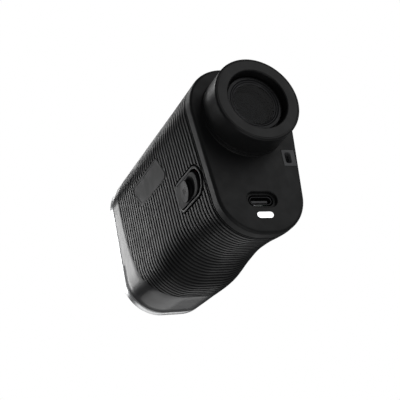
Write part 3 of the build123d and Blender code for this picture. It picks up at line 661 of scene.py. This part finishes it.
def make_band():
    """The smooth band: from the ribs' slanted end to the bezel."""
    last = BEZEL_START - 0.1
    skin = [ring_at(RIB_ENDS, [0.12] * COLUMNS)]
    for share in (0.006, 0.02, 0.25, 0.5, 0.75, 0.985):
        ys = [end + (last - end) * share for end in RIB_ENDS]
        skin.append(ring_at(ys, [0.035 if share < 0.01 else 0.0] * COLUMNS))
    skin.append(ring_at([last] * COLUMNS, [0.15] * COLUMNS))
    inner_ends = [rib_end(k, WALL) for k in range(COLUMNS)]
    inner = [ring_at([end + (last - end) * share for end in inner_ends], [WALL] * COLUMNS)
             for share in (1.0, 0.5, 0.0)]
    band = loft("smooth_band", skin + inner, "loop", SLANTED_SHARP_ANGLE)
    dress(band, "shell_plastic", "housing", "front_shell")


def make_bezel():
    edge = 0.9
    arc = [(BODY_LENGTH - edge + edge * math.sin(a), edge * (1 - math.cos(a)))
           for a in (math.pi / 2 * k / 6 for k in range(7))]
    skin = [(BEZEL_START, 0.18), (BEZEL_START + 0.06, 0.06), (BEZEL_START + 0.2, 0.0), (94.0, 0.0), *arc,
            (BODY_LENGTH, BEZEL_WALL - 0.35), (BODY_LENGTH - 0.1, BEZEL_WALL - 0.1),
            (BODY_LENGTH - 0.35, BEZEL_WALL), (94.0, BEZEL_WALL), (BEZEL_START, BEZEL_WALL)]
    bezel = loft("bezel_ring", [outline(y, inset) for y, inset in skin], "loop")
    dress(bezel, "bezel_metal", "housing", "front_bezel")


def rear_cutter(name, outline_at, depth, flare):
    """A cutter into the rear face with a softly rounded mouth; outline_at(grow, y) gives its rings."""
    levels = [(-1.0, flare + 0.8), (0.0, flare), (0.08, flare * 0.45), (0.2, flare * 0.12),
              (flare + 0.1, 0.0), (depth, 0.0)]
    return loft(name, [outline_at(grow, y) for y, grow in levels])


def grown_stadium(size, grow, y, z):
    """A stadium in the plane at y, centred on (0, z) and grown outwards all round."""
    return on_rear(stadium(size[0] + 2 * grow, size[1] + 2 * grow), y, z)


def rear_rectangle(x_span, z_span, grow, corner, corner_steps, y):
    """A rounded rectangle in the plane at y, grown outwards all round."""
    a, b = (x_span[1] - x_span[0]) / 2 + grow, (z_span[1] - z_span[0]) / 2 + grow
    corners = [(-a, -b), (a, -b), (a, b), (-a, b)]
    return on_rear(rounded(corners, corner, corner_steps), y, sum(z_span) / 2, sum(x_span) / 2)


def side_cutter(name, x):
    """A cutter from x out through the right side, as high as the lanyard slot."""
    low, high = LUG_SIDE_Y
    corners = [(x, low), (BEYOND_SIDE, low), (BEYOND_SIDE, high), (x, high)]
    return loft(name, [[(u, v, z) for u, v in corners] for z in LUG_SLOT_Z])


def make_cap():
    arc = [(CAP_EDGE_R * (1 - math.sin(a)), CAP_EDGE_R * (1 - math.cos(a)))
           for a in (math.pi / 2 * k / 7 for k in range(8))]
    skin = [(CAP_PLATE, WALL), (CAP_DEPTH, WALL), (CAP_DEPTH, 0.12), (CAP_DEPTH - 0.12, 0.0), *arc,
            (0.0, CAP_EDGE_R + 0.25)]
    cap = loft("rear_cover", [outline(y, inset) for y, inset in skin])

    def tube_hole(grow, y):
        return on_rear(circle_2d(TUBE_HOLE_R + grow, 96), y)

    def usb_pocket(grow, y):
        return grown_stadium(USB_POCKET, grow, y, USB_Z)

    def lamp_hole(grow, y):
        return grown_stadium(LAMP_SIZE, grow + LAMP_FIT, y, LAMP_Z)

    def lug_hole(grow, y):
        return rear_rectangle(LUG_X, LUG_Z, grow + LUG_FIT, LUG_CORNER_R + grow, 5, y)

    carve(
        cap,
        rear_cutter("tube_hole", tube_hole, THROUGH_CAP, 0.1),
        rear_cutter("usb_pocket", usb_pocket, USB_DEPTH, 0.4),
        loft("usb_hole", [on_rear(stadium(*USB_HOLE), y, USB_Z) for y in (1.0, THROUGH_CAP)]),
        rear_cutter("lamp_hole", lamp_hole, THROUGH_CAP, 0.08),
        rear_cutter("lug_hole", lug_hole, THROUGH_CAP, 0.06),
        side_cutter("lug_side", LUG_X[1] - 0.2),
    )
    dress(soften(cap), "cap_plastic", "housing", "rear_cap")


def make_gaskets():
    seam = loft("rear_seal", [outline(y, i) for y, i in
                              ((CAP_DEPTH, 0.55), (4.4, 0.5), (SLEEVE_START, 0.55), (SLEEVE_START, WALL),
                               (CAP_DEPTH, WALL))], "loop")
    dress(seam, "gasket_rubber", "housing", "rear_gasket")
    front = loft("front_seal", [outline(y, i) for y, i in
                                ((BEZEL_START, 1.95), (93.0, 1.95), (93.0, 3.3), (BEZEL_START, 3.3))], "loop")
    dress(front, "gasket_rubber", "housing", "front_gasket")


def make_badge():
    """A plain blank plate with a fine rounded rim."""
    heights = [(-BADGE_THICK, 0.0), (-0.25, 0.0), (-0.08, -0.06), (0.0, -0.25), (0.0, -0.9), (-0.12, -1.05),
               (-0.12, -1.4)]
    badge = loft("blank_badge", [on_flank(BADGE_BASE, badge_outline(grow), h) for h, grow in heights])
    dress(soften(badge), "plate_plastic", "housing", "side_badge")


def make_lug():
    """The lanyard bar: a slot in at the rear that turns out to the side."""
    levels = [(LUG_DEPTH, 0.0), (0.1, 0.0), (-0.08, -0.08), (-0.15, -0.25)]
    lug = loft("lanyard_bar", [rear_rectangle(LUG_X, LUG_Z, g, LUG_CORNER_R, 5, y) for y, g in levels])
    mouth = [(-1, 0.6), (-0.15, 0.18), (0.1, 0.0), (LUG_SIDE_Y[1], 0.0)]
    slot = [rear_rectangle(LUG_SLOT_X, LUG_SLOT_Z, g, LUG_SLOT_R + g, 6, y) for y, g in mouth]
    carve(lug, loft("slot_in", slot), side_cutter("slot_out", sum(LUG_SLOT_X) / 2))
    dress(soften(lug), "lug_plastic", "housing", "lanyard_lug")


# ---- rear face fittings ----
def make_usb():
    wall, (front, back) = USB_WALL, USB_SHELL_Y
    levels = [(0.0, back), (0.0, front + 0.08), (-0.06, front), (-wall + 0.06, front), (-wall, front + 0.08),
              (-wall, back - 0.8)]
    shell = loft("usb_receptacle", [grown_stadium(USB_SHELL, grow, y, USB_Z) for grow, y in levels])
    dress(shell, "black_metal", "housing", "usb_shell")

    def bar(shrink, y):
        a, b = USB_TONGUE[0] / 2 - shrink, USB_TONGUE[1] / 2 - shrink
        return on_rear(rounded([(-a, -b), (a, -b), (a, b), (-a, b)], 0.2, 4), y, USB_Z)

    ends = ((back - 0.9, 0), (USB_TONGUE_Y + 0.15, 0), (USB_TONGUE_Y, 0.15))
    tongue = loft("usb_contact_tongue", [bar(shrink, y) for y, shrink in ends])
    dress(tongue, "lug_plastic", "housing", "usb_tongue")


def make_lamp():
    levels = [(3.4, 0.0), (0.25, 0.0), (0.08, -0.05), (0.0, -0.2)]
    lamp = loft("lamp_lens", [grown_stadium(LAMP_SIZE, grow, y, LAMP_Z) for y, grow in levels])
    dress(soften(lamp), "lamp", "housing", "lamp_window")


# ---- eyepiece ----
def make_eyepiece():
    """The eyecup, its base ring, the cell and the lens retainer, as (radius, y) profiles."""
    rim = EYECUP_LOW.y / MM - REAR_Y / MM
    base = EYECUP_HIGH.y / MM - REAR_Y / MM
    turn = [math.pi / 2 * k / 8 for k in range(9)]
    lip = [(CUP_R - CUP_EDGE_R + CUP_EDGE_R * math.sin(a), rim + CUP_EDGE_R - CUP_EDGE_R * math.cos(a))
           for a in turn]
    bore = [(CUP_BORE_R + CUP_BORE_EDGE_R * (1 - math.cos(a)), rim + CUP_BORE_EDGE_R * (1 - math.sin(a)))
            for a in turn]
    inner, outer = RIM_GROOVE_R
    floor = rim + RIM_GROOVE_DEPTH
    groove = [(inner, rim), (inner + 0.03, floor), (outer - 0.03, floor), (outer, rim)]
    low, high = BASE_GROOVE_Y
    corners = [(CUP_R, low), (BASE_GROOVE_R, low), (BASE_GROOVE_R, high), (BEAD_R, high), (BEAD_R, base),
               (TUBE_GAP_R, base), (TUBE_GAP_R, CUP_STEP_Y), (CUP_NECK_R, CUP_STEP_Y),
               (CUP_NECK_R, CUP_STEP_Y - CUP_NECK_LENGTH)]
    under = rounded(corners, [0.15, 0.1, 0.1, 0.15, 0.1, 0.1, 0.1, 0.1, 0.3], 4)
    dress(turned("eyecup_ring", bore + groove + lip + under), "eyecup_plastic", "eyecup", "eyecup")
    rear, flare = COLLAR_Y
    corners = [(TUBE_GAP_R, rear), (COLLAR_R, rear), (COLLAR_R, flare), (COLLAR_FLARE_R, 0.0),
               (TUBE_GAP_R, 0.0)]
    collar = rounded(corners, [0.05, 0.15, 0.2, 0.02, 0.05], 5)
    dress(turned("eyepiece_base_ring", collar), "eyecup_plastic", "housing", "eyepiece_collar")
    low, high = EYE_STOP_Y
    cell = [(CELL_R, EYE_SEAT_Y), (CELL_R, CELL_END_Y), (CELL_BORE_R, CELL_END_Y), (CELL_BORE_R, high),
            (EYE_STOP_R, high), (EYE_STOP_R, low), (CELL_BORE_R, low), (CELL_BORE_R, EYE_SEAT_Y)]
    dress(turned("ocular_barrel", rounded(cell, 0.08, 2)), "black_metal", "ocular_unit", "ocular_cell")
    face = EYE_FACE_Y
    corners = [(RETAINER_BORE_R, EYE_SEAT_Y), (CELL_R, EYE_SEAT_Y), (CELL_R, face), (RETAINER_FLAT_R, face),
               (RETAINER_FLAT_R - 0.5, face + 0.3), (RETAINER_FLAT_R - 0.8, face + 0.3),
               (RETAINER_FLAT_R - 1.1, face + 0.6), (RETAINER_BORE_R, face + 0.7)]
    retainer = rounded(corners, [0.03, 0.05, 0.12, 0.12, 0.06, 0.08, 0.08, 0.03], 4)
    dress(turned("ocular_lock_ring", retainer), "black_metal", "ocular_unit", "ocular_retainer")


def dome(radius, y_edge, sag):
    """Half profile of a spherical surface from the axis to the rim."""
    if sag == 0:
        return [(0.0, y_edge), (radius, y_edge)]
    sphere = (radius**2 + sag**2) / (2 * abs(sag))
    side = 1 if sag > 0 else -1
    reach = math.asin(radius / sphere)
    steps = 14
    centre = y_edge + sag - side * sphere
    return [(sphere * math.sin(reach * k / steps), centre + side * sphere * math.cos(reach * k / steps))
            for k in range(steps + 1)]


def lens_profile(radius, y_back, edge, front_sag, back_sag):
    """Half profile of a lens: a front and a back dome with a fine chamfer between them."""
    front = dome(radius, y_back + edge, front_sag)
    back = dome(radius, y_back, -back_sag)
    chamfer = 0.25
    front = [p for p in front if p[0] < radius - chamfer] + [(radius - chamfer, front[-1][1]),
                                                             (radius, front[-1][1] - chamfer)]
    back = [p for p in back if p[0] < radius - chamfer] + [(radius - chamfer, back[-1][1]),
                                                           (radius, back[-1][1] + chamfer)]
    return front + back[::-1]


def make_lenses():
    # name, (radius, back edge's y, edge thickness, front sag, back sag), z, body, node
    lenses = [
        ("eye_lens_glass", (9.55, EYE_SEAT_Y + 0.12, 4.4, 0.0, 0.4), 0.0, "ocular_unit", "eye_lens"),
        ("field_lens_glass", (9.55, -1.3, 2.4, 1.6, 0.0), 0.0, "ocular_unit", "field_lens"),
        ("objective_glass", (11.5, 89.0, 3.4, 1.9, 0.0), 0.0, "housing", "objective_lens"),
        ("laser_lens_glass", (7.2, 89.5, 2.2, 1.7, 0.0), LASER_Z, "housing", "laser_lens"),
    ]
    for name, measures, z, body, node in lenses:
        dress(turned(name, lens_profile(*measures), 96, 0.0, z), "lens_glass", body, node)


# ---- front face ----
def make_front():
    plate_inset = BEZEL_WALL + 0.05
    skin = [(93.0, plate_inset), (FRONT_Y - 0.2, plate_inset), (FRONT_Y - 0.05, plate_inset + 0.08),
            (FRONT_Y, plate_inset + 0.25), (FRONT_Y, plate_inset + 0.6)]
    plate = loft("front_panel", [outline(y, inset) for y, inset in skin])

    def round_cutter(name, radius, x, z, flare):
        levels = [(90.0, 0.0), (FRONT_Y - flare, 0.0), (FRONT_Y - 0.3 * flare, 0.25 * flare),
                  (FRONT_Y, flare), (99.0, flare)]
        return loft(name, [on_rear(circle_2d(radius + g, 72), y, z, x) for y, g in levels])

    carve(
        plate,
        round_cutter("objective_hole", 12.5, 0, 0, 0.35),
        round_cutter("laser_hole", 8.6, 0, LASER_Z, 0.35),
        *[round_cutter("screw_hole", 0.85, x, z, 0.1) for x, z in FRONT_SCREWS],
    )
    dress(soften(plate), "plate_plastic", "housing", "front_plate")
    # name, (radius, y) profile, z, node
    rings = [
        ("objective_holder",
         [(11.6, 83.0), (13.2, 83.0), (13.2, 92.4), (12.4, 92.4), (12.4, 96.0), (11.6, 96.0)],
         0.0, "objective_cell"),
        ("objective_lock_ring", [(10.7, 94.4), (11.55, 94.4), (11.55, 95.8), (11.2, 95.8), (10.7, 95.2)],
         0.0, "objective_retainer"),
        ("laser_lens_holder", [(7.3, 84.0), (8.5, 84.0), (8.5, 95.8), (7.3, 95.8)], LASER_Z, "laser_cell"),
        ("laser_lock_ring", [(6.5, 94.2), (7.25, 94.2), (7.25, 95.6), (6.9, 95.6), (6.5, 95.0)],
         LASER_Z, "laser_retainer"),
    ]
    for name, profile, z, node in rings:
        dress(turned(name, rounded(profile, 0.15, 3), 120, 0.0, z), "black_metal", "housing", node)


# ---- slide switch ----
def make_switch():
    """The frame round the switch, with its sunk flange, then the slider with its dish and knob."""
    flange_foot, shelf = SWITCH_FLANGE
    flange = [on_flank(SWITCH_BASE, switch_hole(SWITCH_MOAT - 0.05), h) for h in (flange_foot, shelf)]
    rim = [(shelf, 0.0), (SWITCH_TOP - 0.2, 0.0), (SWITCH_TOP - 0.06, -0.06), (SWITCH_TOP, -0.22)]
    ridge = [on_flank(SWITCH_BASE, d_outline(SWITCH_RIM, grow), h) for h, grow in rim]
    plate = loft("switch_frame", flange + ridge)
    mouth = [(-3.0, 0.0), (SWITCH_TOP - 0.35, 0.0), (SWITCH_TOP - 0.1, 0.1), (SWITCH_TOP, 0.3),
             (SWITCH_TOP + 1, 0.8)]
    window = loft("slider_window", [on_flank(SWITCH_BASE, d_outline(SWITCH_WINDOW, g), h) for h, g in mouth])
    dress(soften(carve(plate, window)), "rib_plastic", "housing", "switch_escutcheon")
    low, high = SLIDER_HEIGHTS
    levels = [(low, 0.0), (high - 0.2, 0.0), (high - 0.05, -0.05), (high, -0.2)]
    slider = loft("slider_tray", [on_flank(SWITCH_BASE, d_outline(SLIDER, g), h) for h, g in levels])
    seat = [on_flank(SWITCH_BASE, circle_2d(KNOB_R + 0.05, 64, KNOB_X), h) for h in (KNOB_SEAT, 4.0)]
    carve(slider, make_dish(high), loft("knob_seat", seat))
    dress(soften(slider), "key_plastic", "slider", "slider_plate")
    dress(make_knob(), "key_plastic", "slider", "slider_knob")


def make_dish(high):
    """The ball that hollows the slider behind the knob."""
    ball = (DISH_R**2 + DISH_DEPTH**2) / (2 * DISH_DEPTH)
    rings = []
    for share in (0.002, 0.02, 0.08, 0.2, 0.4, 0.6, 0.8, 1.0, 1.3):
        rise = share * DISH_DEPTH
        r = math.sqrt(ball**2 - (ball - rise) ** 2)
        rings.append(on_flank(SWITCH_BASE, circle_2d(r, 72, DISH_X), high - DISH_DEPTH + rise))
    return loft("dish", rings)


def make_knob():
    """The round thumb knob: its top slopes down forwards, its rear flank is hollow, with grip grooves."""
    rear, front = KNOB_HEIGHTS
    slope = (rear - front) / (2 * KNOB_R)
    # share of the height at that point, inset all round, hollow at the rear
    levels = [(0.0, 0.0, 0.0), (0.25, 0.0, 0.15), (0.4, 0.0, 0.5), (0.53, 0.0, 0.85), (0.66, 0.0, 1.0),
              (0.78, 0.0, 0.8), (0.87, 0.0, 0.45), (0.93, 0.01, 0.2), (0.97, 0.07, 0.05), (0.99, 0.16, 0.0),
              (1.0, 0.32, 0.0), (1.0, 0.6, 0.0), (0.99, 1.2, 0.0), (0.98, 2.0, 0.0), (0.975, 3.0, 0.0)]
    steps = 96
    rings = []
    for share, inset, hollow in levels:
        ring = []
        for k in range(steps):
            a = 2 * math.pi * k / steps
            back = ((1 - math.cos(a)) / 2) ** 2
            r = KNOB_R - inset - 0.5 * hollow * back
            u = KNOB_X + r * math.cos(a)
            top = rear - slope * (u - KNOB_X + KNOB_R)
            height = KNOB_SEAT + share * (top - KNOB_SEAT)
            ring += on_flank(SWITCH_BASE, [(u, r * math.sin(a))], height)
        rings.append(ring)
    knob = loft("thumb_knob", rings)
    origin, forward, down, outward = SWITCH_BASE
    tilt = math.atan(slope)
    along = forward * math.cos(tilt) - outward * math.sin(tilt)
    up = outward * math.cos(tilt) + forward * math.sin(tilt)
    base = (origin + forward * KNOB_X + outward * (rear + front) / 2, along, down, up)
    grooves = []
    for x in (-GRIP_LINE_STEP, 0.0, GRIP_LINE_STEP):
        outline_2d = [(u + x, v) for u, v in stadium(*GRIP_LINE, 8)]
        grooves.append(loft("grip_groove", [on_flank(base, outline_2d, h) for h in (-0.2, 1.0)]))
    return carve(knob, *grooves)


# ---- top buttons ----
def make_buttons():
    low, high = ISLAND_Z
    skin = [(low, 0.0), (high - 0.8, 0.0), (high - 0.5, -0.06), (high - 0.23, -0.23), (high - 0.06, -0.5),
            (high, -0.8)]
    island = loft("button_surround", [level(island_outline(g), ISLAND_Y, z) for z, g in skin])

    def mode_ring(z, radius):
        return level(circle_2d(radius, 64), MODE_Y, z)

    def fire_ring(z, grow):
        return level(stadium(FIRE_SIZE[0] + 2 * grow, FIRE_SIZE[1] + 2 * grow, 20), FIRE_Y, z)

    depth = [(10, 0.0), (high - 0.3, 0.0), (high - 0.08, 0.08), (high, 0.28), (high + 1, 0.6)]
    carve(island, loft("fire_hole", [fire_ring(z, KEY_GAP + g) for z, g in depth]),
          loft("mode_hole", [mode_ring(z, MODE_R + KEY_GAP + g) for z, g in depth]))
    dress(soften(island), "shell_plastic", "housing", "button_island")
    # each key from below: plunger, flange, column, then its dished top
    foot, flange_low, flange_high = KEY_LEVELS
    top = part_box("fire_button")[1].z / MM - AXIS_Z / MM
    levels = [(foot, -4.0), (flange_low, -4.0), (flange_low, KEY_FLANGE), (flange_high, KEY_FLANGE),
              (flange_high, 0.0), (top - 0.9, 0.0), (top - 0.62, -0.07), (top - 0.36, -0.28),
              (top - 0.18, -0.62), (top - 0.1, -1.0), (top - 0.22, -2.2), (top - 0.34, -3.4)]
    dress(loft("fire_key", [fire_ring(z, g) for z, g in levels]), "key_plastic", "fire_key", "fire_button")
    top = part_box("mode_button")[1].z / MM - AXIS_Z / MM
    flange_r = MODE_R + KEY_FLANGE
    levels = [(foot, 1.5), (flange_low, 1.5), (flange_low, flange_r), (flange_high, flange_r),
              (flange_high, MODE_R), (top - 0.8, MODE_R), (top - 0.5, 4.52), (top - 0.2, 4.25),
              (top - 0.04, 3.8), (top, 3.2), (top - 0.02, 2.6), (top - 0.16, 2.4), (top - 0.18, 2.0)]
    dress(loft("mode_key", [mode_ring(z, r) for z, r in levels]), "key_plastic", "mode_key", "mode_button")


make_cap()
make_gaskets()
make_sleeve()
make_band()
make_bezel()
make_badge()
make_lug()
make_usb()
make_lamp()
make_eyepiece()
make_lenses()
make_front()
make_switch()
make_buttons()

# ---- the CAD nodes that stay: their slot's material, and soft edges in the render ----
SLOT_OF = {row["node"]: row["material_slot"] for row in frame["record"]["subparts"]}
for node, obj in frame["nodes"].items():
    obj.data.materials.clear()
    obj.data.materials.append(MATERIALS[SLOT_OF[node]])
    obj.data.shade_smooth()
    obj.data.set_sharp_from_angle(angle=math.radians(SHARP_ANGLE))


# ---- stage and light ----
def area_light(name, place_mm, size_mm, power):
    """A soft rectangular light that faces the object's middle; its power is in watts."""
    data = bpy.data.lights.new(name, "AREA")
    data.shape, data.size, data.size_y = "RECTANGLE", size_mm[0] * MM, size_mm[1] * MM
    data.energy = power
    light = bpy.data.objects.new(name, data)
    bpy.context.scene.collection.objects.link(light)
    light.location = place(place_mm)
    aim = place((0, 45, -15)) - light.location
    light.rotation_mode = "QUATERNION"
    light.rotation_quaternion = aim.to_track_quat("-Z", "Y")


def add_floor():
    """A wide pale floor well below the object, which the camera looks up at."""
    size, drop = 4.0, 0.42
    data = bpy.data.meshes.new("floor")
    corners = [(-size, -size, -drop), (size, -size, -drop), (size, size, -drop), (-size, size, -drop)]
    data.from_pydata(corners, [], [(0, 1, 2, 3)])
    floor = bpy.data.objects.new("floor", data)
    bpy.context.scene.collection.objects.link(floor)
    material, tree, shader = new_material("floor_paint")
    tone = ramp(tree, noise(tree, 3, 2), [(0.3, 0.80), (0.7, 0.84)])
    tree.links.new(tone, shader.inputs["Base Color"])
    shader.inputs["Roughness"].default_value = 0.9
    data.materials.append(material)


def add_world():
    """White where it is seen directly, softer where it lights the object."""
    world = bpy.data.worlds.new("studio")
    bpy.context.scene.world = world
    world.use_nodes = True
    tree = world.node_tree
    tree.nodes.clear()
    seen = tree.nodes.new("ShaderNodeBackground")
    seen.inputs["Color"].default_value = (1, 1, 1, 1)
    lighting = tree.nodes.new("ShaderNodeBackground")
    lighting.inputs["Color"].default_value = (0.95, 0.97, 1.0, 1)
    lighting.inputs["Strength"].default_value = 0.06
    path = tree.nodes.new("ShaderNodeLightPath")
    blend = tree.nodes.new("ShaderNodeMixShader")
    output = tree.nodes.new("ShaderNodeOutputWorld")
    tree.links.new(path.outputs["Is Camera Ray"], blend.inputs["Fac"])
    tree.links.new(lighting.outputs["Background"], blend.inputs[1])
    tree.links.new(seen.outputs["Background"], blend.inputs[2])
    tree.links.new(blend.outputs["Shader"], output.inputs["Surface"])


# name, place in mm, size in mm, power in watts
LIGHTS = [
    ("front_left_softbox", (-160, 455, 80), (110, 190), 0.28),
    ("left_veil", (-235, 440, 60), (180, 240), 0.05),
    ("front_low_strip", (30, 455, -190), (400, 110), 0.14),
    ("front_high_strip", (70, 455, 300), (260, 90), 0.22),
    ("high_left_softbox", (-230, 300, 470), (250, 250), 1.0),
    ("rear_right_softbox", (280, -500, 200), (520, 520), 0.42),
    ("rear_glint", (330, -300, 320), (60, 60), 0.04),
    ("under_softbox", (-110, -235, -350), (170, 170), 0.08),
    ("right_softbox", (520, 150, 60), (400, 400), 0.12),
]
add_floor()
add_world()
for row in LIGHTS:
    area_light(*row)
bpy.context.scene.view_settings.view_transform = "Standard"
